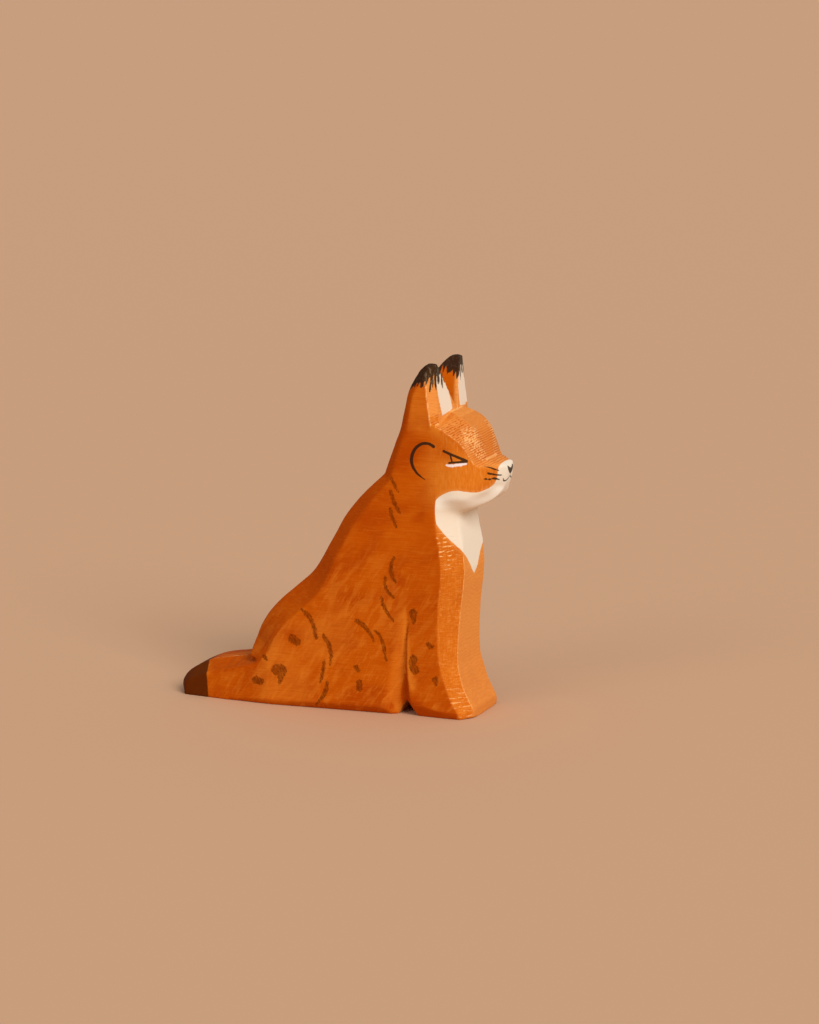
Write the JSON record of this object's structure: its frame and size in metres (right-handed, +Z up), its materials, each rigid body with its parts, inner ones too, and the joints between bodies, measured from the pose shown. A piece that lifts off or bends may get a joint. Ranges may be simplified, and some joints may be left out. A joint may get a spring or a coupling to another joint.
{
  "type": "animal figurine",
  "caption": "Seated young lynx carved from a board of wood, with parted ears, a knife-cut head, a groove between haunch and foreleg, and a short tapering tail.",
  "frame": {"origin": "centre of the bounding box, on the flat base that the figure stands on", "axes": "+Z up, +X towards the nose, +Y across the board towards the animal's left side"},
  "size_m": [0.0972, 0.028, 0.0992],
  "materials": {
    "stained_wood": "orange stain with painted marks, satin"
  },
  "bodies": {
    "root": {"carved_body": "stained_wood"}
  },
  "joints": []
}
